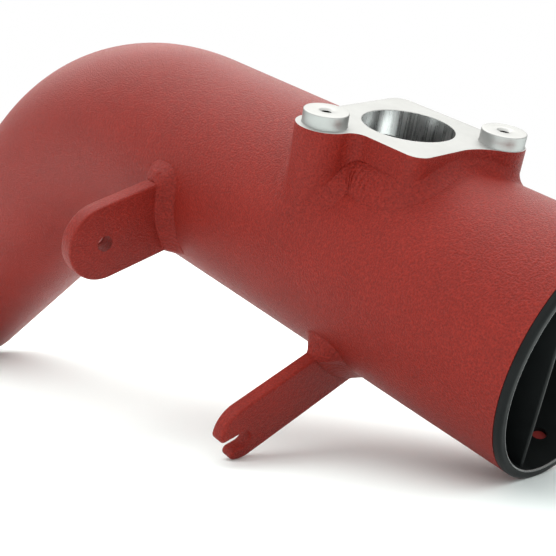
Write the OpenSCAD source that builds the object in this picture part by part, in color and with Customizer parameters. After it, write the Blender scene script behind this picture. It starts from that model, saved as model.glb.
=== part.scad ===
// Intake tube with a mass-air-flow sensor flange, two welded brackets and an
// air straightener pressed into the inlet end. Units are millimetres, +Z is up.
// Everything is drawn in the tube frame first: +X along the straight run toward
// the inlet, +Z out of the sensor flange, origin where the tube axis meets the
// sensor bore axis. Module pose() then lays the part on the floor plane Z = 0.

/* [Build] */
// Piece to draw

/* [Tube] */
// Outside diameter of the tube
tube_od = 76.2; // [60:0.1:102]
// Wall thickness of the tube
tube_wall = 1.65; // [1.2:0.05:3]
// Straight run from the sensor bore axis to the inlet end
inlet_run = 75; // [60:0.5:140]
// Straight run from the sensor bore axis to the start of the bend
bend_run = 99.2; // [60:0.1:180]
// Centre-line radius of the bend
bend_clr = 104.5; // [76:0.5:160]
// Angle of the bend
bend_angle = 49.1; // [10:0.1:120]
// Turn of the bend plane about the straight run
bend_turn = -7; // [-45:0.5:45]
// Straight leg after the bend
outlet_run = 137; // [30:0.5:200]

/* [Sensor flange] */
// Height of the flange face above the tube axis
flange_top = 44.2; // [41:0.1:55]
// Length of the flange plate along the tube
plate_x = 45.4; // [36:0.1:60]
// Width of the flange plate across the tube
plate_y = 42.8; // [36:0.1:60]
// Corner radius of the flange plate
plate_corner = 5; // [1:0.1:10]
// Diameter of the sensor bore
bore_d = 29.4; // [20:0.1:40]
// Front standoff position along the tube
front_x = -11.4; // [-20:0.1:0]
// Front standoff position across the tube
front_y = -25.7; // [-32:0.1:-20]
// Rear standoff position along the tube
rear_x = 23.6; // [15:0.1:30]
// Rear standoff position across the tube
rear_y = 16.5; // [5:0.1:25]
// Outside radius of the front ear
front_ear_r = 9; // [7:0.1:12]
// Outside radius of the rear ear
rear_ear_r = 7.6; // [7:0.1:12]

/* [Standoffs] */
// Diameter of each standoff
standoff_d = 14; // [9:0.1:18]
// Height of each standoff above the flange face
standoff_h = 4.2; // [2:0.1:10]
// Diameter of the tapped hole
tap_d = 3.3; // [2.5:0.1:6]
// Depth of the tapped hole
tap_depth = 8; // [5:0.5:12]

/* [Brackets] */
// Thickness of the upper bracket plate
upper_t = 5.8; // [3:0.1:8]
// End radius of the upper bracket
upper_r = 13.8; // [9:0.1:18]
// Radial distance from the tube axis to the upper bracket hole
upper_reach = 63.4; // [50:0.1:90]
// Droop of the upper bracket below level
upper_droop = 12.1; // [0:0.1:45]
// Diameter of the upper bracket hole
upper_hole_d = 6.6; // [4:0.1:10]
// Thickness of the lower bracket plate
lower_t = 4.8; // [3:0.1:8]
// End radius of the lower bracket
lower_r = 9.5; // [8:0.1:15]
// Droop of the lower bracket below level
lower_droop = 16.9; // [0:0.1:45]
// Width of the open slot in the lower bracket
slot_w = 5.4; // [4:0.1:7]
// Leg length of the bracket welds
bracket_weld = 4.6; // [2:0.1:7]

/* [Air straightener] */
// Thickness of the lip that covers the end of the tube
lip_t = 2.4; // [1:0.1:5]
// Inside radius of the straightener
sleeve_ri = 35; // [30:0.1:36]
// Length of the sleeve inside the tube
sleeve_len = 38; // [15:0.5:60]
// Thickness of the dividing vane
vane_t = 2; // [1:0.1:4]
// Sideways position of the vane from the tube axis
vane_y = -14.5; // [-25:0.1:25]
// Diameter of the clip window through the sleeve
window_d = 4.8; // [2:0.1:8]

/* [Hidden] */
$fn = 96;
eps = 0.01;
tube_r = tube_od / 2;
tube_ri = tube_r - tube_wall;
pose_roll = 12.918;
pose_pitch = 21.740;
pose_lift = 63.607;
pose_x = 116.119;
pose_y = 9.485;
half_x = plate_x / 2;
half_y = plate_y / 2;
flange_base = 8;
front_fillet = 4.8;
rear_fillet = 16;
rear_back_fillet = 5;
fillet_bite = 0.15;
flange_weld_w = 4;
flange_weld_h = 2.8;
spigot_d = 10;
spigot_len = 4;
tap_mouth_d = 4.8;
upper_face_x = -69;
lower_face_x = 10.5;
lower_y = -62.8;
lower_z = -41.8;
lower_tab_len = 50;
slot_end_x = -1.1;
slot_end_y = -2.2;
slot_turn = -8;
slot_round = 1.7;
round_bite = 0.06;
cut_over = 1;
upper_root = asin(upper_r / tube_r);
upper_weld_from = 90 + upper_droop - upper_root - 6;
upper_weld_to = 90 + upper_droop + upper_root + 5;
lower_weld_from = 118;
lower_weld_to = 172;
weld_crest = 0.4;
vane_recess = 2;
sleeve_gap = 0.05;
leg_step = 0.1;
leg_lap = 0.5;
neck_len = 36;
hole_gap = 0.5;
lip_r = tube_r - leg_step;
sleeve_ro = tube_ri - leg_step - sleeve_gap;
window_x = 8;
window_turn = 12.7;

module pose() {
    translate([pose_x, pose_y, pose_lift])
        rotate([pose_roll, pose_pitch, 0])
            children();
}

// Solid bar following the tube centre line. The inlet neck and the outlet leg
// are sized thinner by leg_step and lap into the run, so that no two surfaces
// touch edge to edge.
module run(r, over) {
    rotate([bend_turn, 0, 0]) {
        translate([-bend_run, 0, 0])
            rotate([0, 90, 0])
                cylinder(r = r, h = bend_run + inlet_run - neck_len);
        translate([inlet_run - neck_len - leg_lap, 0, 0])
            rotate([0, 90, 0])
                cylinder(r = r - leg_step, h = neck_len + leg_lap + over);
        translate([-bend_run, 0, -bend_clr])
            rotate([90, -90, 0])
                rotate_extrude(angle = bend_angle)
                    translate([bend_clr, 0])
                        circle(r = r);
        outlet_frame()
            translate([0, 0, -leg_lap])
                cylinder(r = r - leg_step, h = outlet_run + leg_lap + over);
    }
}

// Frame at the start of the outlet leg, +Z along the flow
module outlet_frame() {
    translate([-bend_run - bend_clr * sin(bend_angle), 0, -bend_clr * (1 - cos(bend_angle))])
        rotate([0, -(90 + bend_angle), 0])
            children();
}

module straight_bar(r) {
    translate([-bend_run, 0, 0])
        rotate([0, 90, 0])
            cylinder(r = r, h = bend_run + inlet_run);
}

module sensor_bore() {
    cylinder(d = bore_d, h = flange_top + standoff_h);
}

module rounded_plate(w, l, r) {
    square([w - 2 * r, l], center = true);
    square([w, l - 2 * r], center = true);
    for (sx = [-1, 1])
        for (sy = [-1, 1])
            translate([sx * (w / 2 - r), sy * (l / 2 - r)])
                circle(r = r);
}

// Plan view of the flange, grown by g on every side
module flange_outline(g) {
    rounded_plate(plate_x + 2 * g, plate_y + 2 * g, plate_corner + g);
    front_ear(g);
    rear_ear(g);
}

module front_ear(g) {
    edge_x = front_x + front_ear_r;
    translate([front_x, front_y])
        circle(r = front_ear_r + g);
    translate([front_x - front_ear_r - g, front_y])
        square([2 * front_ear_r + 2 * g, half_y]);
    difference() {
        translate([edge_x, -half_y - front_fillet])
            square([front_fillet, front_fillet]);
        translate([edge_x + front_fillet, -half_y - front_fillet])
            circle(r = front_fillet - g);
    }
}

module rear_ear(g) {
    side_x = half_x + rear_fillet - fillet_bite;
    side_r = rear_ear_r + rear_fillet - fillet_bite;
    side_y = rear_y - sqrt(pow(side_r, 2) - pow(side_x - rear_x, 2));
    back_y = half_y + rear_back_fillet - fillet_bite;
    back_r = rear_ear_r + rear_back_fillet - fillet_bite;
    back_x = rear_x - sqrt(pow(back_r, 2) - pow(back_y - rear_y, 2));
    translate([rear_x, rear_y])
        circle(r = rear_ear_r + g);
    difference() {
        polygon([[0, side_y], [side_x, side_y], [rear_x, rear_y], [back_x, back_y], [back_x, 0]]);
        translate([side_x, side_y])
            circle(r = rear_fillet - g);
        translate([back_x, back_y])
            circle(r = rear_back_fillet - g);
    }
}

module standoff_places() {
    translate([front_x, front_y, flange_top])
        children();
    translate([rear_x, rear_y, flange_top])
        children();
}

module spigot_shape() {
    translate([0, 0, -spigot_len])
        cylinder(d = spigot_d, h = spigot_len + eps);
}

// Plate lying across the tube, plan drawn in the Y-Z plane
module cross_plate(face_x, t) {
    translate([face_x - t, 0, 0])
        rotate([90, 0, 90])
            linear_extrude(height = t)
                children();
}

// Tab with a round outer end, +X of the plan toward the tube
module tab(r, len) {
    circle(r = r);
    translate([0, -r])
        square([len, 2 * r]);
}

module upper_plan() {
    rotate(upper_droop)
        translate([-upper_reach, 0])
            difference() {
                tab(upper_r, upper_reach - tube_r + upper_r);
                circle(d = upper_hole_d);
            }
}

module lower_plan() {
    translate([lower_y, lower_z])
        rotate(lower_droop)
            difference() {
                tab(lower_r, lower_tab_len);
                translate([slot_end_x, slot_end_y])
                    rotate(slot_turn)
                        slot_plan();
            }
}

// Open slot with its round end at the origin, running out toward -X. The tip of
// the plate is a circle about (tip_x, tip_y) in this frame.
module slot_plan() {
    tip_x = -slot_end_x * cos(slot_turn) - slot_end_y * sin(slot_turn);
    tip_y = slot_end_x * sin(slot_turn) - slot_end_y * cos(slot_turn);
    circle(d = slot_w);
    translate([tip_x - lower_r - cut_over, -slot_w / 2])
        square([lower_r + cut_over - tip_x, slot_w]);
    prong_round(tip_x, tip_y, 1);
    prong_round(tip_x, tip_y, -1);
}

// Material outside the round corner of a prong, s = 1 above the slot, -1 below
module prong_round(tip_x, tip_y, s) {
    corner_y = s * (slot_w / 2 + slot_round - round_bite);
    from_tip = lower_r - slot_round + round_bite;
    corner_x = tip_x - sqrt(pow(from_tip, 2) - pow(corner_y - tip_y, 2));
    out_x = (corner_x - tip_x) / from_tip;
    out_y = (corner_y - tip_y) / from_tip;
    reach = slot_round + cut_over;
    difference() {
        polygon([[corner_x, corner_y], [corner_x, corner_y - s * reach],
                 [tip_x - lower_r - cut_over, corner_y - s * reach],
                 [corner_x + out_x * reach - out_y * s * reach, corner_y + out_y * reach + out_x * s * reach],
                 [corner_x + out_x * reach, corner_y + out_y * reach]]);
        translate([corner_x, corner_y])
            circle(r = slot_round);
    }
}

// Fillet bead on both faces of a cross plate, from angle a1 to a2 measured
// from straight up toward the front of the tube
module root_bead(face_x, t, a1, a2) {
    rotate([0, 90, 0])
        rotate([0, 0, 180 + a1])
            rotate_extrude(angle = a2 - a1)
                polygon([[tube_r, face_x - t - bracket_weld], [tube_r, face_x + bracket_weld],
                         [tube_r + bracket_weld, face_x + weld_crest],
                         [tube_r + bracket_weld, face_x - t - weld_crest]]);
}

module intake_tube() {
    color([0.58, 0.18, 0.16])
        pose()
            difference() {
                run(tube_r, 0);
                run(tube_ri, cut_over);
                cylinder(d = bore_d + 2 * hole_gap, h = flange_top);
            }
}

module sensor_flange() {
    color([0.86, 0.87, 0.88])
        pose()
            difference() {
                translate([0, 0, flange_base])
                    linear_extrude(height = flange_top - flange_base)
                        flange_outline(0);
                straight_bar(tube_r);
                sensor_bore();
                standoff_places()
                    spigot_shape();
            }
}

module sensor_standoffs() {
    color([0.83, 0.84, 0.85])
        pose()
            standoff_places()
                difference() {
                    union() {
                        cylinder(d = standoff_d, h = standoff_h);
                        spigot_shape();
                    }
                    translate([0, 0, standoff_h - tap_depth])
                        cylinder(d = tap_d, h = tap_depth + cut_over);
                    translate([0, 0, standoff_h - (tap_mouth_d - tap_d) / 2])
                        cylinder(d1 = tap_d, d2 = tap_mouth_d, h = (tap_mouth_d - tap_d) / 2 + eps);
                }
}

module sensor_flange_weld() {
    color([0.52, 0.15, 0.14])
        pose()
            difference() {
                intersection() {
                    translate([0, 0, flange_base / 2])
                        linear_extrude(height = flange_top)
                            flange_outline(flange_weld_w);
                    straight_bar(tube_r + flange_weld_h);
                }
                straight_bar(tube_r);
                linear_extrude(height = 2 * flange_top)
                    flange_outline(0);
            }
}

module upper_bracket() {
    color([0.55, 0.16, 0.15])
        pose()
            difference() {
                cross_plate(upper_face_x, upper_t)
                    upper_plan();
                straight_bar(tube_r);
            }
}

module upper_bracket_weld() {
    color([0.52, 0.15, 0.14])
        pose()
            difference() {
                root_bead(upper_face_x, upper_t, upper_weld_from, upper_weld_to);
                cross_plate(upper_face_x, upper_t)
                    upper_plan();
            }
}

module lower_bracket() {
    color([0.55, 0.16, 0.15])
        pose()
            difference() {
                cross_plate(lower_face_x, lower_t)
                    lower_plan();
                straight_bar(tube_r);
            }
}

module lower_bracket_weld() {
    color([0.52, 0.15, 0.14])
        pose()
            difference() {
                root_bead(lower_face_x, lower_t, lower_weld_from, lower_weld_to);
                cross_plate(lower_face_x, lower_t)
                    lower_plan();
            }
}

module air_straightener() {
    color([0.10, 0.11, 0.11])
        pose()
            translate([inlet_run, 0, 0])
                rotate([0, 90, 0]) {
                    difference() {
                        rotate_extrude()
                            sleeve_profile();
                        rotate([0, 0, window_turn])
                            translate([sleeve_ri - cut_over, 0, -window_x])
                                rotate([0, 90, 0])
                                    cylinder(d = window_d, h = sleeve_ro - sleeve_ri + 2 * cut_over);
                    }
                    vane();
                }
}

module sleeve_profile() {
    edge = lip_t / 2;
    inner = edge / 2;
    translate([sleeve_ri, -sleeve_len])
        square([sleeve_ro - sleeve_ri, sleeve_len + edge]);
    translate([sleeve_ri + inner, 0])
        square([lip_r - sleeve_ri - inner - edge, lip_t]);
    translate([sleeve_ri, 0])
        square([lip_r - sleeve_ri, edge]);
    translate([sleeve_ri, 0])
        square([inner, lip_t - inner]);
    translate([sleeve_ri + inner, lip_t - inner])
        circle(r = inner);
    translate([lip_r - edge, edge])
        circle(r = edge);
}

// Flat vane beside the axis, its front edge set back from the lip face
module vane() {
    intersection() {
        translate([-tube_r, vane_y - vane_t / 2, -sleeve_len])
            cube([tube_od, vane_t, sleeve_len + lip_t - vane_recess]);
        translate([0, 0, -sleeve_len])
            cylinder(r = sleeve_ri + (sleeve_ro - sleeve_ri) / 2, h = sleeve_len + lip_t);
    }
}

intake_tube();
sensor_flange();
sensor_standoffs();
sensor_flange_weld();
upper_bracket();
upper_bracket_weld();
lower_bracket();
lower_bracket_weld();
air_straightener();
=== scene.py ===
"""Looks for the intake tube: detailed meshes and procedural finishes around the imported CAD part.

Meshes are worked out in the tube's own frame in millimetres (+X along the straight run toward the
inlet, +Z out of the sensor flange) and put in the row frame by the same pose as the CAD source.
"""

import math

import bmesh
import bpy
import numpy as np
from mathutils import Matrix, Vector
from mathutils.geometry import tessellate_polygon


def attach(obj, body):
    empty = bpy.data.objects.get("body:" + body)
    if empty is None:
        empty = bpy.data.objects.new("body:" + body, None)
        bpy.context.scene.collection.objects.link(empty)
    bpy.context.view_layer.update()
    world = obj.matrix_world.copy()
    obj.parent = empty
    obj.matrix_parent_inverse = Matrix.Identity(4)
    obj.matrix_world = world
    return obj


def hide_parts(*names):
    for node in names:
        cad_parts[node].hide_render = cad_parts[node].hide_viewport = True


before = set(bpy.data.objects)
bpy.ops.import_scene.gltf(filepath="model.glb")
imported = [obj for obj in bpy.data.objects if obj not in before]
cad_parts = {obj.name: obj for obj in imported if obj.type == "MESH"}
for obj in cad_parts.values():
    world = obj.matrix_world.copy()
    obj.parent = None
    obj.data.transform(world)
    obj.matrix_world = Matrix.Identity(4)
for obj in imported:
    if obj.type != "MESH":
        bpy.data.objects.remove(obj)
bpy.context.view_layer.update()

MM = 0.001

# ---------------------------------------------------------------- sizes, in mm, as in the CAD source
TUBE_R = 38.1
TUBE_RI = 36.45
WALL = TUBE_R - TUBE_RI
LEG_R = 38.0
INLET_X = 75.0
NECK_X = 39.0
NECK_EASE = 24.0
BEND_RUN = 99.2
BEND_CLR = 104.5
BEND_ANGLE = math.radians(49.1)
BEND_TURN = math.radians(-7)
OUTLET_RUN = 137.0
POSE_ROLL = math.radians(12.918)
POSE_PITCH = math.radians(21.740)
POSE_SHIFT = (116.119, 9.485, 63.607)

FLANGE_TOP = 44.2
HALF_X, HALF_Y = 22.7, 21.4
CORNER = 5.0
BORE_R = 14.7
TUBE_HOLE_R = 15.2
FRONT_EAR = (-11.4, -25.7, 9.0)
REAR_EAR = (23.6, 16.5, 7.6)
FRONT_FILLET, SIDE_FILLET, BACK_FILLET = 4.8, 16.0, 5.0
STANDOFF_R, STANDOFF_H = 7.0, 4.2

UPPER_T, UPPER_R, UPPER_REACH, UPPER_DROOP = 5.8, 13.8, 63.4, math.radians(12.1)
UPPER_X, UPPER_HOLE_R = -69.0, 3.3
LOWER_T, LOWER_R, LOWER_DROOP = 4.8, 9.5, math.radians(16.9)
LOWER_X, LOWER_Y, LOWER_Z = 10.5, -62.8, -41.8
SLOT_W, SLOT_END, SLOT_TURN, PRONG_R = 5.4, (-1.1, -2.2), math.radians(-8), 1.7

LIP_T, SLEEVE_RI, SLEEVE_RO, SLEEVE_LEN = 2.4, 35.0, 36.3, 38.0
WINDOW_R, WINDOW_X, WINDOW_TURN = 2.4, 8.0, math.radians(12.7)
VANE_T, VANE_Y, VANE_RECESS = 2.0, -14.5, 2.0

ROT = np.array(
    Matrix.Rotation(POSE_PITCH, 3, "Y") @ Matrix.Rotation(POSE_ROLL, 3, "X")
)
SHIFT = np.array(POSE_SHIFT)
X_AXIS = np.array((1.0, 0.0, 0.0))


# ---------------------------------------------------------------- mesh helpers
def to_row(points):
    """Tube frame in mm to the row frame in metres."""
    return (np.asarray(points, float) @ ROT.T + SHIFT) * MM


def make_piece(name, points, faces, materials, face_material=None, sharp=35.0):
    """A mesh object in the row frame from points in the tube frame."""
    me = bpy.data.meshes.new(name)
    me.from_pydata(to_row(points).tolist(), [], [tuple(int(i) for i in f) for f in faces])
    for m in materials:
        me.materials.append(m)
    if face_material is not None:
        me.polygons.foreach_set("material_index", np.asarray(face_material, np.int32))
    bm = bmesh.new()
    bm.from_mesh(me)
    bmesh.ops.recalc_face_normals(bm, faces=bm.faces)
    bm.to_mesh(me)
    bm.free()
    me.shade_smooth()
    me.set_sharp_from_angle(angle=math.radians(sharp))
    ob = bpy.data.objects.new(name, me)
    bpy.context.scene.collection.objects.link(ob)
    return ob


def loft(rings, close_rings=False):
    """Points and quads of a surface through rings of equal length; each ring is closed."""
    rings = [np.asarray(r, float) for r in rings]
    n, m = len(rings), len(rings[0])
    points = np.vstack(rings)
    faces = []
    for i in range(n if close_rings else n - 1):
        a, b = i * m, ((i + 1) % n) * m
        for j in range(m):
            k = (j + 1) % m
            faces.append((a + j, a + k, b + k, b + j))
    return points, faces


def lathe(profile, count):
    """Rings about +Z from (radius, height) pairs."""
    a = np.linspace(0, 2 * math.pi, count, endpoint=False)
    return [
        np.stack([r * np.cos(a), r * np.sin(a), np.full(count, z)], 1) for r, z in profile
    ]


def arc(cx, cy, r, start, end, step=0.6):
    """Points along an arc, angles in degrees, the last one left out."""
    n = max(3, int(abs(math.radians(end - start)) * r / step))
    a = np.radians(np.linspace(start, end, n, endpoint=False))
    return np.stack([cx + r * np.cos(a), cy + r * np.sin(a)], 1)


def resample(poly, count):
    """A closed polyline as count evenly spaced points."""
    p = np.vstack([poly, poly[:1]])
    d = np.r_[0, np.cumsum(np.hypot(*np.diff(p, axis=0).T))]
    t = np.linspace(0, d[-1], count, endpoint=False)
    return np.stack([np.interp(t, d, p[:, 0]), np.interp(t, d, p[:, 1])], 1)


def normals_2d(poly):
    """Outward unit normals of a counter-clockwise closed polyline."""
    t = np.roll(poly, -1, 0) - np.roll(poly, 1, 0)
    n = np.stack([t[:, 1], -t[:, 0]], 1)
    return n / np.linalg.norm(n, axis=1)[:, None]


def smooth_ring(v, turns):
    """Values on a closed ring, evened out with their neighbours that many times."""
    for _ in range(turns):
        v = (np.roll(v, 1, 0) + 2 * v + np.roll(v, -1, 0)) / 4
    return v


def cut(ob, cutter):
    """ob minus cutter, applied."""
    mod = ob.modifiers.new("cut", "BOOLEAN")
    mod.operation, mod.solver, mod.object = "DIFFERENCE", "EXACT", cutter
    dg = bpy.context.evaluated_depsgraph_get()
    me = bpy.data.meshes.new_from_object(ob.evaluated_get(dg))
    ob.modifiers.clear()
    old, ob.data = ob.data, me
    bpy.data.meshes.remove(old)
    bpy.data.objects.remove(cutter)
    me.name = ob.name


def place(ob, slot_name, *nodes):
    """The piece rides on the root body and stands for CAD nodes, which it hides; slot_name is not used."""
    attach(ob, "root")
    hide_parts(*nodes)
    return ob


# ---------------------------------------------------------------- material helpers
def new_material(name):
    m = bpy.data.materials.new(name)
    m.use_nodes = True
    nt = m.node_tree
    return m, nt, nt.nodes["Principled BSDF"]


def tube_coords(nt):
    """Tube-frame position in millimetres."""
    tc = nt.nodes.new("ShaderNodeTexCoord")
    mp = nt.nodes.new("ShaderNodeMapping")
    mp.vector_type = "TEXTURE"
    mp.inputs["Location"].default_value = tuple(s * MM for s in POSE_SHIFT)
    mp.inputs["Rotation"].default_value = (POSE_ROLL, POSE_PITCH, 0)
    mp.inputs["Scale"].default_value = (MM, MM, MM)
    nt.links.new(tc.outputs["Object"], mp.inputs["Vector"])
    return mp.outputs["Vector"]


def noise(nt, vec, scale, detail=2.0, rough=0.5, distortion=0.0):
    n = nt.nodes.new("ShaderNodeTexNoise")
    n.inputs["Scale"].default_value = scale
    n.inputs["Detail"].default_value = detail
    n.inputs["Roughness"].default_value = rough
    n.inputs["Distortion"].default_value = distortion
    nt.links.new(vec, n.inputs["Vector"])
    return n.outputs["Fac"]


def voronoi(nt, vec, scale, feature="SMOOTH_F1", smooth=0.6):
    v = nt.nodes.new("ShaderNodeTexVoronoi")
    v.feature = feature
    v.inputs["Scale"].default_value = scale
    if feature == "SMOOTH_F1":
        v.inputs["Smoothness"].default_value = smooth
    nt.links.new(vec, v.inputs["Vector"])
    return v.outputs["Distance"]


def math_node(nt, op, a, b=None, clamp=False):
    n = nt.nodes.new("ShaderNodeMath")
    n.operation, n.use_clamp = op, clamp
    for i, v in enumerate((a, b)):
        if v is None:
            continue
        if isinstance(v, (int, float)):
            n.inputs[i].default_value = v
        else:
            nt.links.new(v, n.inputs[i])
    return n.outputs[0]


def ramp(nt, fac, stops):
    r = nt.nodes.new("ShaderNodeValToRGB")
    el = r.color_ramp.elements
    while len(el) < len(stops):
        el.new(0.5)
    for e, (pos, col) in zip(el, stops):
        e.position = pos
        e.color = (*col, 1) if len(col) == 3 else col
    nt.links.new(fac, r.inputs["Fac"])
    return r.outputs["Color"]


def remap(nt, fac, lo, hi, to_lo, to_hi):
    n = nt.nodes.new("ShaderNodeMapRange")
    for key, v in (("From Min", lo), ("From Max", hi), ("To Min", to_lo), ("To Max", to_hi)):
        n.inputs[key].default_value = v
    nt.links.new(fac, n.inputs["Value"])
    return n.outputs["Result"]


def mix_colour(nt, fac, a, b):
    n = nt.nodes.new("ShaderNodeMix")
    n.data_type = "RGBA"
    nt.links.new(fac, n.inputs["Factor"])
    for key, v in ((6, a), (7, b)):
        if isinstance(v, tuple):
            n.inputs[key].default_value = (*v, 1)
        else:
            nt.links.new(v, n.inputs[key])
    return n.outputs[2]


def bump(nt, height, strength, distance, normal=None):
    b = nt.nodes.new("ShaderNodeBump")
    b.inputs["Strength"].default_value = strength
    b.inputs["Distance"].default_value = distance
    nt.links.new(height, b.inputs["Height"])
    if normal is not None:
        nt.links.new(normal, b.inputs["Normal"])
    return b.outputs["Normal"]


# ---------------------------------------------------------------- materials
def red_coat(name, grain, deep):
    """Wrinkle-texture powder coat. grain scales the relief, deep is how strong it is."""
    m, nt, bsdf = new_material(name)
    vec = tube_coords(nt)
    cells = voronoi(nt, vec, 1.7 * grain, "SMOOTH_F1", 0.75)
    fine = noise(nt, vec, 2.4 * grain, 3.0, 0.62, 0.35)
    height = math_node(nt, "ADD", math_node(nt, "MULTIPLY", cells, 0.7), fine)
    # colour darker where the relief height is low: painted shade in the hollows of the wrinkles
    pit_shade = remap(nt, height, 0.55, 1.15, 0.0, 1.0)
    broad = noise(nt, vec, 0.045, 3.0, 0.55)
    pit_shaded_col = ramp(
        nt,
        pit_shade,
        [
            (0.0, (0.158, 0.0088, 0.0050)),
            (0.55, (0.230, 0.0138, 0.0078)),
            (1.0, (0.275, 0.0205, 0.0120)),
        ],
    )
    shade = ramp(nt, broad, [(0.3, (0.93, 0.93, 0.93)), (0.7, (1.05, 1.05, 1.05))])
    mul = nt.nodes.new("ShaderNodeMix")
    mul.data_type, mul.blend_type = "RGBA", "MULTIPLY"
    mul.inputs["Factor"].default_value = 1.0
    nt.links.new(pit_shaded_col, mul.inputs[6])
    nt.links.new(shade, mul.inputs[7])
    nt.links.new(mul.outputs[2], bsdf.inputs["Base Color"])
    nt.links.new(remap(nt, fine, 0.3, 0.7, 0.50, 0.37), bsdf.inputs["Roughness"])
    bsdf.inputs["Specular IOR Level"].default_value = 0.21
    nt.links.new(bump(nt, height, deep, 0.00062), bsdf.inputs["Normal"])
    return m


def aluminium(name, kind):
    """Bare aluminium: 'milled' top faces, 'bored' walls with painted reflection streaks, 'turned' pads or
    'tapped' holes painted near-black as shade.
    """
    m, nt, bsdf = new_material(name)
    vec = tube_coords(nt)
    sep = nt.nodes.new("ShaderNodeSeparateXYZ")
    nt.links.new(vec, sep.inputs[0])
    x, y, z = sep.outputs
    bsdf.inputs["Metallic"].default_value = 1.0
    if kind in ("milled", "turned"):
        bsdf.inputs["Specular Tint"].default_value = (0.55, 0.55, 0.55, 1)
    blotch = noise(nt, vec, 0.12, 4.0, 0.6)
    if kind == "milled":
        # tool passes across the face: arcs of a large cutter
        r = math_node(nt, "SQRT", math_node(nt, "ADD",
            math_node(nt, "POWER", math_node(nt, "ADD", x, 60.0), 2.0),
            math_node(nt, "POWER", math_node(nt, "ADD", y, 25.0), 2.0)))
        lines = math_node(nt, "SINE", math_node(nt, "MULTIPLY", r, 2 * math.pi / 0.55))
        rough = remap(nt, blotch, 0.3, 0.7, 0.54, 0.62)
        col = ramp(nt, blotch, [(0.3, (0.405, 0.409, 0.402)), (0.7, (0.465, 0.469, 0.462))])
        depth = 0.10
    elif kind == "bored":
        # painted reflection streaks that run down the wall, in the base colour; the same stretched noise
        # also varies the roughness
        squash = nt.nodes.new("ShaderNodeMapping")
        squash.inputs["Scale"].default_value = (1.0, 1.0, 0.03)
        nt.links.new(vec, squash.inputs["Vector"])
        reflection_streak = noise(nt, squash.outputs["Vector"], 0.55, 5.0, 0.7)
        lines = math_node(nt, "SINE", math_node(nt, "MULTIPLY", z, 2 * math.pi / 0.42))
        rough = remap(nt, reflection_streak, 0.3, 0.7, 0.22, 0.34)
        col = ramp(
            nt,
            reflection_streak,
            [(0.3, (0.52, 0.52, 0.52)), (0.5, (0.80, 0.80, 0.80)), (0.7, (0.97, 0.97, 0.97))],
        )
        depth = 0.02
    elif kind == "turned":
        lines = math_node(nt, "SINE", math_node(nt, "MULTIPLY", z, 2 * math.pi / 0.5))
        rough = remap(nt, blotch, 0.3, 0.7, 0.38, 0.48)
        col = ramp(nt, blotch, [(0.3, (0.400, 0.404, 0.397)), (0.7, (0.460, 0.464, 0.457))])
        depth = 0.08
    else:
        # tapped hole: a near-black base that paints the shade inside the unlit hole
        lines = noise(nt, vec, 0.9, 4.0, 0.6)
        rough = remap(nt, blotch, 0.3, 0.7, 0.50, 0.65)
        col = ramp(nt, blotch, [(0.3, (0.030, 0.028, 0.026)), (0.7, (0.060, 0.056, 0.052))])
        depth = 0.15
    nt.links.new(col, bsdf.inputs["Base Color"])
    nt.links.new(rough, bsdf.inputs["Roughness"])
    scratch = noise(nt, vec, 6.0, 4.0, 0.7)
    height = math_node(nt, "ADD", lines, math_node(nt, "MULTIPLY", scratch, 0.8))
    nt.links.new(bump(nt, height, depth, 0.00003), bsdf.inputs["Normal"])
    return m


def black_plastic(name, lo, hi, rough, gloss):
    """Moulded nylon: lo and hi are the ends of the colour range, rough the middle roughness."""
    m, nt, bsdf = new_material(name)
    vec = tube_coords(nt)
    fine = noise(nt, vec, 3.2, 4.0, 0.6)
    broad = noise(nt, vec, 0.09, 3.0, 0.5)
    col = ramp(nt, broad, [(0.3, lo), (0.7, hi)])
    nt.links.new(col, bsdf.inputs["Base Color"])
    nt.links.new(remap(nt, fine, 0.3, 0.7, rough - 0.05, rough + 0.05), bsdf.inputs["Roughness"])
    bsdf.inputs["Specular IOR Level"].default_value = gloss
    nt.links.new(bump(nt, fine, 0.18, 0.00006), bsdf.inputs["Normal"])
    return m


def inner_wall():
    """Tube inside: red overspray near the ends that fades into drawn aluminium."""
    m, nt, bsdf = new_material("tube_inside")
    vec = tube_coords(nt)
    sep = nt.nodes.new("ShaderNodeSeparateXYZ")
    nt.links.new(vec, sep.inputs[0])
    patches = noise(nt, vec, 0.35, 4.0, 0.65)
    edge = math_node(nt, "ADD", sep.outputs[0], math_node(nt, "MULTIPLY", patches, 18.0))
    cover = remap(nt, edge, 40.0, 58.0, 0.0, 1.0)
    turn = Matrix.Rotation(BEND_TURN, 3, "X")
    way = turn @ Vector((-math.cos(BEND_ANGLE), 0, -math.sin(BEND_ANGLE)))
    end = turn @ Vector(
        (-BEND_RUN - BEND_CLR * math.sin(BEND_ANGLE), 0, -BEND_CLR * (1 - math.cos(BEND_ANGLE)))
    )
    dot = nt.nodes.new("ShaderNodeVectorMath")
    dot.operation = "DOT_PRODUCT"
    dot.inputs[1].default_value = way
    nt.links.new(vec, dot.inputs[0])
    leg = math_node(nt, "ADD", dot.outputs["Value"], math_node(nt, "MULTIPLY", patches, 16.0))
    cover_leg = remap(nt, leg, way.dot(end) + 82.0, way.dot(end) + 112.0, 0.0, 1.0)
    both = math_node(nt, "MAXIMUM", cover, cover_leg)
    metal = ramp(nt, patches, [(0.3, (0.30, 0.30, 0.30)), (0.7, (0.46, 0.46, 0.455))])
    nt.links.new(mix_colour(nt, both, metal, (0.27, 0.026, 0.023)), bsdf.inputs["Base Color"])
    nt.links.new(math_node(nt, "SUBTRACT", 1.0, both), bsdf.inputs["Metallic"])
    nt.links.new(remap(nt, patches, 0.3, 0.7, 0.42, 0.56), bsdf.inputs["Roughness"])
    grain = noise(nt, vec, 1.8, 3.0, 0.6)
    nt.links.new(bump(nt, grain, 0.5, 0.00015), bsdf.inputs["Normal"])
    return m


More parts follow.
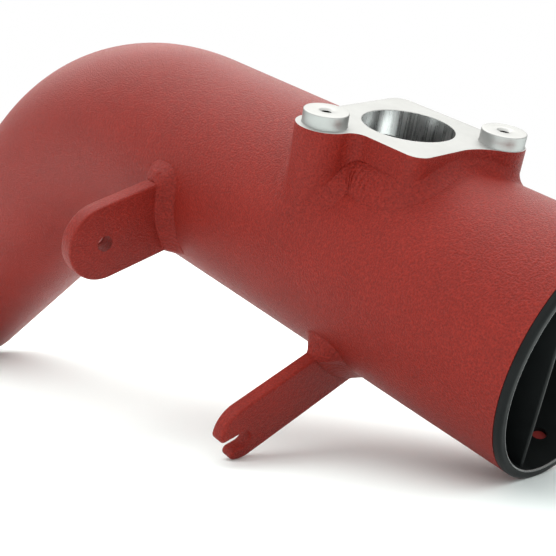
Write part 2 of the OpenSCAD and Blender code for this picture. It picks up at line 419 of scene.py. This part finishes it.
RED = red_coat("red_coat", 1.0, 0.55)
RED_WELD = red_coat("red_weld", 0.85, 0.7)
ALU_TOP = aluminium("flange_metal", "milled")
ALU_BORE = aluminium("bore_metal", "bored")
ALU_PAD = aluminium("standoff_metal", "turned")
PLASTIC = black_plastic("black_plastic", (0.006, 0.0070, 0.0072), (0.010, 0.0115, 0.0118), 0.42, 0.10)
# paler base on the inner edge rounding: a painted highlight, on top of a real glossier, smoother finish
PLASTIC_EDGE_HIGHLIGHT = black_plastic("plastic_edge_highlight", (0.050, 0.050, 0.050), (0.075, 0.075, 0.075), 0.24, 1.0)
# near-black painted shade for the tapped holes in the standoffs
HOLE_SHADE = aluminium("hole_painted_shade", "tapped")
INSIDE = inner_wall()


# ---------------------------------------------------------------- tube
def spine(step_straight=6.0, step_bend=1.5, step_leg=6.0):
    """Centre, bend-outward normal, outside and inside radius at stations from inlet to outlet."""
    rows = []
    up = np.array((0.0, 0.0, 1.0))
    for x in np.linspace(INLET_X, NECK_X, 16):
        fade = min(1.0, max(0.0, (NECK_X + NECK_EASE - x) / NECK_EASE))
        fade = fade * fade * (3 - 2 * fade)
        r = LEG_R + (TUBE_R - LEG_R) * fade
        rows.append((np.array((x, 0, 0)), up, r, r - WALL))
    n = int((NECK_X + BEND_RUN) / step_straight)
    for x in np.linspace(NECK_X - 0.3, -BEND_RUN, n, endpoint=False):
        rows.append((np.array((x, 0, 0)), up, TUBE_R, TUBE_RI))
    n = int(math.degrees(BEND_ANGLE) / step_bend)
    for a in np.linspace(0, BEND_ANGLE, n, endpoint=False):
        c = np.array((-BEND_RUN - BEND_CLR * math.sin(a), 0, -BEND_CLR * (1 - math.cos(a))))
        rows.append((c, np.array((-math.sin(a), 0, math.cos(a))), TUBE_R, TUBE_RI))
    a = BEND_ANGLE
    end = np.array((-BEND_RUN - BEND_CLR * math.sin(a), 0, -BEND_CLR * (1 - math.cos(a))))
    way = np.array((-math.cos(a), 0, -math.sin(a)))
    out = np.array((-math.sin(a), 0, math.cos(a)))
    for s in np.linspace(0, OUTLET_RUN - 0.6, int(OUTLET_RUN / step_leg)):
        fade = min(1.0, s / 12.0)
        r = TUBE_R + (LEG_R - TUBE_R) * fade
        rows.append((end + way * s, out, r, r - WALL))
    return rows, end, way, out


def tube_ring(centre, out, r, count=160):
    a = np.linspace(0, 2 * math.pi, count, endpoint=False)
    side = np.array((0.0, 1.0, 0.0))
    return centre + r * (np.cos(a)[:, None] * out + np.sin(a)[:, None] * side)


def build_tube():
    rows, end, way, out = spine()
    outer = [tube_ring(c, u, r) for c, u, r, _ in rows]
    inner = [tube_ring(c, u, ri) for c, u, _, ri in rows]
    # rounded rim at the outlet
    mid, half = LEG_R - WALL / 2, WALL / 2
    rim = []
    for k in range(1, 8):
        a = math.pi * k / 8
        rim.append(
            tube_ring(end + way * (OUTLET_RUN - 0.6 + 0.6 * math.sin(a)), out, mid + half * math.cos(a))
        )
    rings = outer + rim + inner[::-1]
    points, faces = loft(rings, close_rings=True)
    turn = np.array(Matrix.Rotation(BEND_TURN, 3, "X"))
    points = points @ turn.T
    count = len(rings[0])
    first_inner = (len(outer) + len(rim)) * count
    last = (len(rings) - 1) * count
    inside = [1 if first_inner <= f[0] < last else 0 for f in faces]
    ob = make_piece("tube_body", points, faces, [RED, INSIDE], inside, sharp=50)
    pts, fcs = loft(lathe([(TUBE_HOLE_R, 20.0), (TUBE_HOLE_R, 60.0)], 96))
    n = 96
    fcs += [tuple(range(n - 1, -1, -1)), tuple(range(n, 2 * n))]
    cut(ob, make_piece("bore_cutter", pts, fcs, []))
    ob.data.shade_smooth()
    ob.data.set_sharp_from_angle(angle=math.radians(50))
    return place(ob, "red_coat", "intake_tube")


# ---------------------------------------------------------------- flange
def flange_outline(count=420):
    fx, fy, fr = FRONT_EAR
    rx, ry, rr = REAR_EAR
    xs = HALF_X + SIDE_FILLET
    ys = ry - math.sqrt((rr + SIDE_FILLET) ** 2 - (xs - rx) ** 2)
    yb = HALF_Y + BACK_FILLET
    xb = rx - math.sqrt((rr + BACK_FILLET) ** 2 - (yb - ry) ** 2)
    to_side = math.degrees(math.atan2(ry - ys, rx - xs))
    to_back = math.degrees(math.atan2(yb - ry, xb - rx))
    left = math.degrees(math.acos((fx - fr + HALF_X - CORNER) / CORNER))
    parts = [
        arc(HALF_X - CORNER, -HALF_Y + CORNER, CORNER, -90, 0),
        arc(xs, ys, SIDE_FILLET, 180, to_side),
        arc(rx, ry, rr, to_side - 180, to_back),
        arc(xb, yb, BACK_FILLET, to_back - 180, -90),
        arc(-HALF_X + CORNER, HALF_Y - CORNER, CORNER, 90, 180),
        arc(-HALF_X + CORNER, -HALF_Y + CORNER, CORNER, 180, 360 - left),
        arc(fx, fy, fr, 180, 360),
        arc(fx + fr + FRONT_FILLET, fy - 0.5, FRONT_FILLET, 180, 90),
    ]
    return resample(np.vstack(parts), count)


def on_tube(flat, radius, along, across):
    """Points (a, e) of a plan seen along 'along', dropped on the cylinder of that radius."""
    a, e = flat[:, 0], flat[:, 1]
    q = np.sqrt(np.maximum(radius**2 - e**2, 0))
    return a[:, None] * X_AXIS + e[:, None] * across + q[:, None] * along


Z_AXIS = np.array((0.0, 0.0, 1.0))
Y_AXIS = np.array((0.0, 1.0, 0.0))


def raise_to(flat, z):
    return np.column_stack([flat, np.broadcast_to(z, len(flat))])


def build_flange():
    out = flange_outline()
    nrm = normals_2d(out)
    ang = np.arctan2(out[:, 1], out[:, 0])
    ray = np.stack([np.cos(ang), np.sin(ang)], 1)
    foot = on_tube(out, TUBE_R - 0.9, Z_AXIS, Y_AXIS)[:, 2]
    rings, mats = [], []

    def add(flat, z, mat):
        rings.append(raise_to(flat, z))
        mats.append(mat)

    chamfer = 0.2
    top_in = ray * (BORE_R + chamfer)
    add(ray * BORE_R, FLANGE_TOP - chamfer, 0)
    add(ray * (BORE_R + 0.5 * chamfer), FLANGE_TOP - 0.4 * chamfer, 0)
    add(top_in, FLANGE_TOP, 0)
    edge = out - nrm * 0.35
    for k in (0.25, 0.5, 0.75):
        add(top_in + (edge - top_in) * k, FLANGE_TOP, 0)
    add(edge, FLANGE_TOP, 0)
    add(out - nrm * 0.12, FLANGE_TOP - 0.10, 2)
    add(out - nrm * 0.02, FLANGE_TOP - 0.30, 2)
    for k in np.linspace(0, 1, 9):
        add(out, (FLANGE_TOP - 0.6) * (1 - k) + foot * k, 2)
    for k in np.linspace(0, 1, 7)[1:-1]:
        flat = out + (ray * BORE_R - out) * k
        add(flat, on_tube(flat, TUBE_R - 0.9, Z_AXIS, Y_AXIS)[:, 2], 1)
    low = on_tube(ray * BORE_R, TUBE_RI, Z_AXIS, Y_AXIS)[:, 2]
    for k in np.linspace(0, 1, 8)[:-1]:
        add(ray * BORE_R, low * (1 - k) + (FLANGE_TOP - chamfer) * k, 1)
    points, faces = loft(rings, close_rings=True)
    face_mats = np.repeat(mats, len(out))
    ob = make_piece("sensor_flange_body", points, faces, [ALU_TOP, ALU_BORE, RED], face_mats, sharp=30)
    return place(ob, "flange_metal", "sensor_flange")


def build_standoffs():
    count = 96
    profile = [(0.05, -4.9), (1.64, -3.9)]
    z = -3.7
    while z < 2.9:
        profile += [(1.66, z), (1.98, z + 0.3), (1.98, z + 0.4)]
        z += 0.7
    profile += [(1.75, 3.45), (2.35, STANDOFF_H - 0.06), (2.5, STANDOFF_H)]
    # faces of the threaded hole below the countersink take the painted hole shade
    hole_rings = len(profile) - 3
    profile += [(4.0, STANDOFF_H), (5.5, STANDOFF_H), (STANDOFF_R - 0.45, STANDOFF_H)]
    for k in range(1, 5):
        a = math.pi / 2 * k / 4
        profile.append((STANDOFF_R - 0.4 + 0.4 * math.sin(a), STANDOFF_H - 0.4 + 0.4 * math.cos(a)))
    profile += [(STANDOFF_R, 2.0), (STANDOFF_R, 0.35), (STANDOFF_R + 0.12, 0.0), (STANDOFF_R + 0.12, -0.3)]
    profile += [(5.0, -0.35), (5.0, -5.4), (0.05, -5.4)]
    points, faces, mats, base = [], [], [], 0
    for cx, cy, _ in (FRONT_EAR, REAR_EAR):
        pts, fcs = loft(lathe(profile, count))
        pts = pts + np.array((cx, cy, FLANGE_TOP))
        in_hole = [1 if f[0] < hole_rings * count else 0 for f in fcs] + [1, 0]
        fcs += [tuple(range(count)), tuple(range(len(pts) - 1, len(pts) - 1 - count, -1))]
        faces += [tuple(i + base for i in f) for f in fcs]
        mats += in_hole
        points.append(pts)
        base += len(pts)
    ob = make_piece("sensor_standoff_pads", np.vstack(points), faces, [ALU_PAD, HOLE_SHADE], mats, sharp=32)
    return place(ob, "standoff_metal", "sensor_standoffs")


# ---------------------------------------------------------------- weld beads
def bead(name, flat, along, across, width, height, fill, ripple, pitch, extra=None, node=None, relax=0):
    """A weld run round a plan outline where a wall in direction 'along' meets the tube.

    width, height and fill are per point of the outline: toe distance, rise up the wall, and how
    full the section is (0 hollow, 1 flat, over 1 crowned). relax evens out the toe line, so that
    it doesn't cross itself at an inner corner of the outline.
    """
    n = len(flat)
    nrm = normals_2d(flat)
    foot = on_tube(flat, TUBE_R, along, across)
    e = flat[:, 1]
    q = np.sqrt(TUBE_R**2 - np.minimum(np.abs(e), TUBE_R - 0.5) ** 2)
    slope = -nrm[:, 1] * e / q
    reach = width / np.sqrt(1 + slope**2)
    toe_flat = smooth_ring(flat + nrm * reach[:, None], relax)
    nrm = smooth_ring(nrm, relax // 2)
    nrm /= np.linalg.norm(nrm, axis=1)[:, None]
    toe_flat[:, 1] = np.clip(toe_flat[:, 1], -TUBE_R + 0.05, TUBE_R - 0.05)
    toe = on_tube(toe_flat, TUBE_R, along, across)
    top = foot + height[:, None] * along
    mid = (top + toe) / 2
    ctrl = foot + fill[:, None] * (mid - foot)
    out3 = nrm[:, :1] * X_AXIS + nrm[:, 1:] * across
    toe_out = toe - toe @ X_AXIS[:, None] * X_AXIS
    toe_out /= np.linalg.norm(toe_out, axis=1)[:, None]
    lift = along + out3
    lift /= np.linalg.norm(lift, axis=1)[:, None]
    seg = np.linalg.norm(np.roll(foot, -1, 0) - foot, axis=1)
    run = np.r_[0, np.cumsum(seg)[:-1]]
    total = seg.sum()
    beats = max(1, round(total / pitch))
    rings = []
    m = 13
    for j in range(m):
        u = j / (m - 1)
        p = (1 - u) ** 2 * top + 2 * u * (1 - u) * ctrl + u**2 * toe
        phase = run / total * beats - 1.1 * (2 * u - 1) ** 2
        scale = phase - np.floor(phase)
        wave = np.sin(math.pi * scale) ** 0.8 - 0.55
        bulge = ripple * wave * (4 * u * (1 - u)) ** 0.7
        if extra is not None:
            bulge = bulge + extra(run / total, u)
        rings.append(p + bulge[:, None] * lift)
    # the closed back of the bead, sunk in the tube and the wall
    rings.append(toe - 0.5 * toe_out + 0.15 * out3)
    rings.append(foot - 0.5 * lift - 0.3 * toe_out)
    rings.append(top - 0.5 * out3)
    points = np.vstack(rings)
    k = len(rings)
    faces = []
    for i in range(k):
        a, b = i * n, ((i + 1) % k) * n
        for j in range(n):
            jj = (j + 1) % n
            faces.append((a + j, a + jj, b + jj, b + j))
    ob = make_piece(name, points, faces, [RED_WELD], sharp=60)
    return place(ob, "red_weld", node)


def lump(at, width, peak, centre_u=0.45, spread_u=0.38):
    """A rounded lump on a bead, where the arc was started or stopped."""

    def f(t, u):
        d = np.abs(t - at)
        d = np.minimum(d, 1 - d)
        return peak * np.exp(-((d / width) ** 2) - ((u - centre_u) / spread_u) ** 2)

    return f


def build_flange_weld():
    out = flange_outline(560)
    n = len(out)
    ear = np.exp(-(((out[:, 0] - FRONT_EAR[0]) / 9) ** 2) - ((out[:, 1] + 30) / 7) ** 2)
    front = np.exp(-(((out[:, 0] - 10) / 14) ** 2) - ((out[:, 1] + 22) / 8) ** 2)
    width = smooth_ring(4.3 + 1.6 * ear + 2.8 * front, 30)
    height = smooth_ring(3.6 + 1.5 * ear + 1.2 * front, 30)
    fill = smooth_ring(0.5 + 0.55 * front, 30)
    at = np.argmin(np.hypot(out[:, 0] - 1.5, out[:, 1] + 22))
    gap = np.abs(np.arange(n) - at)
    gap = np.minimum(gap, n - gap) / n
    ripple = 0.10 + 0.55 * np.exp(-((gap / 0.040) ** 2))
    return bead(
        "sensor_flange_bead", out, Z_AXIS, Y_AXIS, width, height, fill, ripple, 2.1,
        lump(at / n, 0.030, 1.5, 0.5, 0.42), "sensor_flange_weld", relax=160,
    )


def tab_section(t, r, x_face, e_mid, count, corner=1.2):
    """Plan outline of a tab where it meets the tube."""
    x0, x1 = x_face - t, x_face
    parts = [
        arc(x1 - corner, e_mid - r + corner, corner, -90, 0, 0.3),
        arc(x1 - corner, e_mid + r - corner, corner, 0, 90, 0.3),
        arc(x0 + corner, e_mid + r - corner, corner, 90, 180, 0.3),
        arc(x0 + corner, e_mid - r + corner, corner, 180, 270, 0.3),
    ]
    return resample(np.vstack(parts), count)


def tab_axes(droop):
    along = np.array((0.0, -math.cos(droop), -math.sin(droop)))
    across = np.array((0.0, math.sin(droop), -math.cos(droop)))
    return along, across


def build_upper_weld():
    along, across = tab_axes(UPPER_DROOP)
    flat = tab_section(UPPER_T, UPPER_R, UPPER_X, 0.0, 300)
    n = len(flat)
    ones = np.ones(n)
    top = np.argmin(np.hypot(flat[:, 0] - (UPPER_X - UPPER_T / 2), flat[:, 1] + UPPER_R)) / n
    return bead(
        "upper_bracket_bead", flat, along, across, 5.2 * ones, 4.6 * ones, 0.95 * ones, 0.16, 2.4,
        lump(top, 0.05, 1.2), "upper_bracket_weld",
    )


def build_lower_weld():
    along, across = tab_axes(LOWER_DROOP)
    e_mid = LOWER_Y * across[1] + LOWER_Z * across[2]
    flat = tab_section(LOWER_T, LOWER_R, LOWER_X, e_mid, 260)
    n = len(flat)
    ones = np.ones(n)
    top = np.argmin(np.hypot(flat[:, 0] - LOWER_X, flat[:, 1] - (e_mid - LOWER_R))) / n
    return bead(
        "lower_bracket_bead", flat, along, across, 6.0 * ones, 5.8 * ones, 0.7 * ones, 0.14, 2.4,
        lump(top, 0.045, 1.5), "lower_bracket_weld",
    )


# ---------------------------------------------------------------- brackets
def plate(name, outline, holes, x0, x1, soft, node):
    """A flat plate across the tube from its outline in (Y, Z), with softly rounded rims."""
    steps = 4
    loops = [np.asarray(outline, float)] + [np.asarray(h, float) for h in holes]
    points, faces = [], []
    base = 0
    caps = {0: [], 1: []}
    for li, loop in enumerate(loops):
        nrm = normals_2d(loop)
        if li:
            nrm = -nrm if _area(loop) > 0 else nrm
        elif _area(loop) < 0:
            nrm = -nrm
        r = soft if li == 0 else 0.45 * soft
        sign = 1 if li == 0 else -1
        rows = []
        for k in range(steps + 1):
            a = math.pi / 2 * k / steps
            rows.append((-sign * r * (1 - math.sin(a)), x0 + r * (1 - math.cos(a))))
        for k in range(steps + 1):
            a = math.pi / 2 * (1 - k / steps)
            rows.append((-sign * r * (1 - math.sin(a)), x1 - r * (1 - math.cos(a))))
        for off, x in rows:
            flat = loop + nrm * off
            points.append(np.column_stack([np.full(len(loop), x), flat]))
        n = len(loop)
        for i in range(len(rows) - 1):
            a, b = base + i * n, base + (i + 1) * n
            for j in range(n):
                jj = (j + 1) % n
                faces.append((a + j, a + jj, b + jj, b + j))
        caps[0].append(list(range(base, base + n)))
        last = base + (len(rows) - 1) * n
        caps[1].append(list(range(last, last + n)))
        base += len(rows) * n
    pts = np.vstack(points)
    for side in (0, 1):
        idx = [i for loop in caps[side] for i in loop]
        polys = [[(pts[i][1], pts[i][2], 0.0) for i in loop] for loop in caps[side]]
        for tri in tessellate_polygon(polys):
            faces.append(tuple(idx[i] for i in tri))
    ob = make_piece(name, pts, faces, [RED], sharp=40)
    return place(ob, "red_coat", node)


def _area(p):
    """Signed area of a closed polyline."""
    q = np.roll(p, -1, 0)
    return 0.5 * float(np.sum(p[:, 0] * q[:, 1] - q[:, 0] * p[:, 1]))


def turned(flat, angle, shift=(0.0, 0.0)):
    """Plan points turned by an angle and moved."""
    c, s = math.cos(angle), math.sin(angle)
    return np.asarray(flat) @ np.array(((c, s), (-s, c))) + np.array(shift)


def root_end(e_lo, e_hi, axis_shift, count=24):
    """The inner end of a tab, following the middle of the tube wall."""
    e = np.linspace(e_lo, e_hi, count)
    q = np.sqrt((TUBE_R - 0.8) ** 2 - (e + axis_shift) ** 2)
    return e, q


def build_upper_bracket():
    e, q = root_end(-UPPER_R, UPPER_R, 0.0)
    root = np.stack([UPPER_REACH - q, e], 1)
    outline = np.vstack([arc(0, 0, UPPER_R, 90, 270, 0.5), [[0, -UPPER_R]],
                         np.linspace((4, -UPPER_R), (root[0, 0] - 2, -UPPER_R), 6), root,
                         np.linspace((root[-1, 0] - 2, UPPER_R), (4, UPPER_R), 6)])
    hole = arc(0, 0, UPPER_HOLE_R, 0, 360, 0.4)
    place_at = (-UPPER_REACH * math.cos(UPPER_DROOP), -UPPER_REACH * math.sin(UPPER_DROOP))
    return plate("upper_bracket_tab", turned(outline, UPPER_DROOP, place_at),
                 [turned(hole, UPPER_DROOP, place_at)], UPPER_X - UPPER_T, UPPER_X, 0.9, "upper_bracket")


def prong_corner(side):
    """Centre of the round corner between the slot wall and the tip circle of the lower tab."""
    d = np.array((math.cos(SLOT_TURN), math.sin(SLOT_TURN)))
    n = np.array((-d[1], d[0]))
    off = float(n @ np.array(SLOT_END)) + side * (SLOT_W / 2 + PRONG_R)
    return -d * math.sqrt((LOWER_R - PRONG_R) ** 2 - off**2) + n * off


def build_lower_bracket():
    along, across = tab_axes(LOWER_DROOP)
    reach = LOWER_Y * along[1] + LOWER_Z * along[2]
    e_mid = LOWER_Y * across[1] + LOWER_Z * across[2]
    # plan: +x toward the tube, +y is -across
    e, q = root_end(-LOWER_R, LOWER_R, -e_mid)
    root = np.stack([reach - q, e], 1)
    turn = math.degrees(SLOT_TURN)
    half = SLOT_W / 2
    end = np.array(SLOT_END)
    normal = np.array((-math.sin(SLOT_TURN), math.cos(SLOT_TURN)))
    cu, cl = prong_corner(1), prong_corner(-1)
    a_up = math.degrees(math.atan2(cu[1], cu[0]))
    a_lo = math.degrees(math.atan2(cl[1], cl[0])) % 360
    outline = np.vstack([
        arc(0, 0, LOWER_R, 90, a_up, 0.4),
        arc(cu[0], cu[1], PRONG_R, a_up, 270 + turn, 0.25),
        np.linspace(cu - normal * PRONG_R, end + normal * half, 14, endpoint=False),
        arc(end[0], end[1], half, 90 + turn, -90 + turn, 0.3),
        np.linspace(end - normal * half, cl + normal * PRONG_R, 12, endpoint=False),
        arc(cl[0], cl[1], PRONG_R, 90 + turn, a_lo, 0.25),
        arc(0, 0, LOWER_R, a_lo, 270, 0.4),
        np.linspace((0, -LOWER_R), (root[0, 0] - 2, -LOWER_R), 8), root,
        np.linspace((root[-1, 0] - 2, LOWER_R), (1, LOWER_R), 8),
    ])
    return plate("lower_bracket_tab", turned(outline, LOWER_DROOP, (LOWER_Y, LOWER_Z)), [],
                 LOWER_X - LOWER_T, LOWER_X, 0.9, "lower_bracket")


# ---------------------------------------------------------------- air straightener
def rounded(cx, cy, r, start, end, steps=5):
    a = np.radians(np.linspace(start, end, steps + 1))
    return [(cx + r * math.cos(t), cy + r * math.sin(t)) for t in a]


# rings of the straightener section that round its inner edge; they take the paler plastic of a painted
# highlight, with a glossier finish
EDGE_RINGS = (8, 13)


def build_straightener():
    # section in (radius, height above the tube end), going round the ring once
    lip = 1.1
    ro, ri = LEG_R, SLEEVE_RI
    section = []
    section += rounded(ro - lip, LIP_T - lip, lip, 0, 90)
    section += [(37.0 - 0.4, LIP_T), (36.2, LIP_T)]
    section += rounded(ri + 0.55, LIP_T - 0.55, 0.55, 90, 180)
    section += [(ri, h) for h in (0.5, -4, -10, -17, -24, -31, -SLEEVE_LEN + 0.6)]
    section += rounded(ri + 0.5, -SLEEVE_LEN + 0.5, 0.5, 180, 270, 3)
    section += [(SLEEVE_RO - 0.3, -SLEEVE_LEN), (SLEEVE_RO, -SLEEVE_LEN + 0.3)]
    section += [(SLEEVE_RO, h) for h in (-24, -10, -0.01)]
    section += [(ro - 0.3, 0.0), (ro, 0.25)]
    count = 240
    a = np.linspace(0, 2 * math.pi, count, endpoint=False)
    rings = [
        np.stack([np.full(count, INLET_X + h), r * np.sin(a), r * np.cos(a)], 1) for r, h in section
    ]
    points, faces = loft(rings, close_rings=True)
    edge = [1 if EDGE_RINGS[0] <= f[0] // count < EDGE_RINGS[1] else 0 for f in faces]
    ob = make_piece("straightener_insert", points, faces, [PLASTIC, PLASTIC_EDGE_HIGHLIGHT], edge, sharp=35)
    # clip window near the foot of the vane
    pts, fcs = loft(lathe([(WINDOW_R, SLEEVE_RI - 1.5), (WINDOW_R, SLEEVE_RO + 1.0)], 48))
    fcs += [tuple(range(47, -1, -1)), tuple(range(48, 96))]
    out = np.array((0.0, math.sin(WINDOW_TURN), -math.cos(WINDOW_TURN)))
    side = np.cross(out, X_AXIS)
    pts = pts[:, :1] * X_AXIS + pts[:, 1:2] * side + pts[:, 2:] * out
    cut(ob, make_piece("window_cutter", pts + X_AXIS * (INLET_X - WINDOW_X), fcs, []))
    # dividing vane, its front edge rounded over
    reach = math.sqrt((SLEEVE_RI + 0.5) ** 2 - VANE_Y**2)
    zs = np.linspace(-reach, reach, 61)
    front = np.full_like(zs, INLET_X + LIP_T - VANE_RECESS)
    back = INLET_X - SLEEVE_LEN
    half, soft = VANE_T / 2, 0.55
    loop = []
    for k in range(7):
        t = math.pi * k / 6
        loop.append((0.0, half * math.cos(t), soft * math.sin(t)))
    rows = []
    for y_off, push in [(p[1], p[2]) for p in loop]:
        rows.append(np.stack([front - soft + push, np.full_like(zs, VANE_Y + y_off), zs], 1))
    rows.append(np.stack([np.full_like(zs, back), np.full_like(zs, VANE_Y - half), zs], 1))
    rows.append(np.stack([np.full_like(zs, back), np.full_like(zs, VANE_Y + half), zs], 1))
    n = len(zs)
    faces = []
    for i in range(len(rows)):
        p, q = i * n, ((i + 1) % len(rows)) * n
        for j in range(n - 1):
            faces.append((p + j, p + j + 1, q + j + 1, q + j))
    faces.append(tuple(i * n for i in range(len(rows))))
    faces.append(tuple(i * n + n - 1 for i in reversed(range(len(rows)))))
    vane = make_piece("vane_part", np.vstack(rows), faces, [PLASTIC])
    bm = bmesh.new()
    bm.from_mesh(ob.data)
    bm.from_mesh(vane.data)
    bm.to_mesh(ob.data)
    bm.free()
    bpy.data.objects.remove(vane)
    ob.data.shade_smooth()
    ob.data.set_sharp_from_angle(angle=math.radians(35))
    return place(ob, "black_plastic", "air_straightener")


build_tube()
build_flange()
build_standoffs()
build_flange_weld()
build_upper_bracket()
build_upper_weld()
build_lower_bracket()
build_lower_weld()
build_straightener()


# ---------------------------------------------------------------- floor, light and camera
def build_floor():
    me = bpy.data.meshes.new("floor")
    s = 12.0
    me.from_pydata([(-s, -s, 0), (s, -s, 0), (s, s, 0), (-s, s, 0)], [], [(0, 1, 2, 3)])
    m, _, bsdf = new_material("studio_floor")
    bsdf.inputs["Base Color"].default_value = (0.91, 0.985, 0.985, 1)
    bsdf.inputs["Roughness"].default_value = 0.9
    bsdf.inputs["Specular IOR Level"].default_value = 0.1
    me.materials.append(m)
    ob = bpy.data.objects.new("floor", me)
    bpy.context.scene.collection.objects.link(ob)


STUDIO_LEVEL = 1.24
BACKDROP = 0.806  # times the level above gives white


def build_world():
    """A pale studio: a broad bright ceiling that falls off toward the horizon."""
    w = bpy.data.worlds.new("studio")
    bpy.context.scene.world = w
    w.use_nodes = True
    nt = w.node_tree
    bg = nt.nodes["Background"]
    tc = nt.nodes.new("ShaderNodeTexCoord")
    sep = nt.nodes.new("ShaderNodeSeparateXYZ")
    nt.links.new(tc.outputs["Generated"], sep.inputs[0])
    level = ramp(
        nt,
        sep.outputs[2],
        [(0.0, (0.62, 0.62, 0.61)), (0.35, (0.75, 0.75, 0.735)), (1.0, (1.75, 1.745, 1.70))],
    )
    path = nt.nodes.new("ShaderNodeLightPath")
    backdrop = mix_colour(nt, path.outputs["Is Camera Ray"], level, (BACKDROP, BACKDROP, BACKDROP))
    nt.links.new(backdrop, bg.inputs["Color"])
    bg.inputs["Strength"].default_value = STUDIO_LEVEL


def add_area(name, location, target, size, power, colour=(1, 1, 1)):
    light = bpy.data.lights.new(name, "AREA")
    light.shape = "RECTANGLE"
    light.size, light.size_y = size
    light.energy = power
    light.color = colour
    ob = bpy.data.objects.new(name, light)
    bpy.context.scene.collection.objects.link(ob)
    d = np.array(target, float) - np.array(location, float)
    ob.rotation_euler = Vector(d).to_track_quat("-Z", "Y").to_euler()
    ob.location = location
    return ob


def build_lights():
    # wide soft key from above, on the far left of the view
    add_area("key", (-0.35, 0.35, 0.95), (0, 0, 0.06), (1.7, 1.3), 9.0, (1.0, 0.985, 0.955))


def build_camera():
    cam = bpy.data.cameras.new("camera")
    cam.sensor_width = 36.0
    cam.lens = 63.39
    cam.clip_start, cam.clip_end = 0.01, 60
    ob = bpy.data.objects.new("camera", cam)
    bpy.context.scene.collection.objects.link(ob)
    ob.location = (0.312581, -0.249418, 0.069785)
    ob.rotation_euler = tuple(math.radians(v) for v in (87.28504, -1.35112, 43.34251))
    bpy.context.scene.camera = ob


build_floor()
build_world()
build_lights()
build_camera()
bpy.context.scene.view_settings.view_transform = "Standard"
bpy.context.scene.view_settings.look = "None"
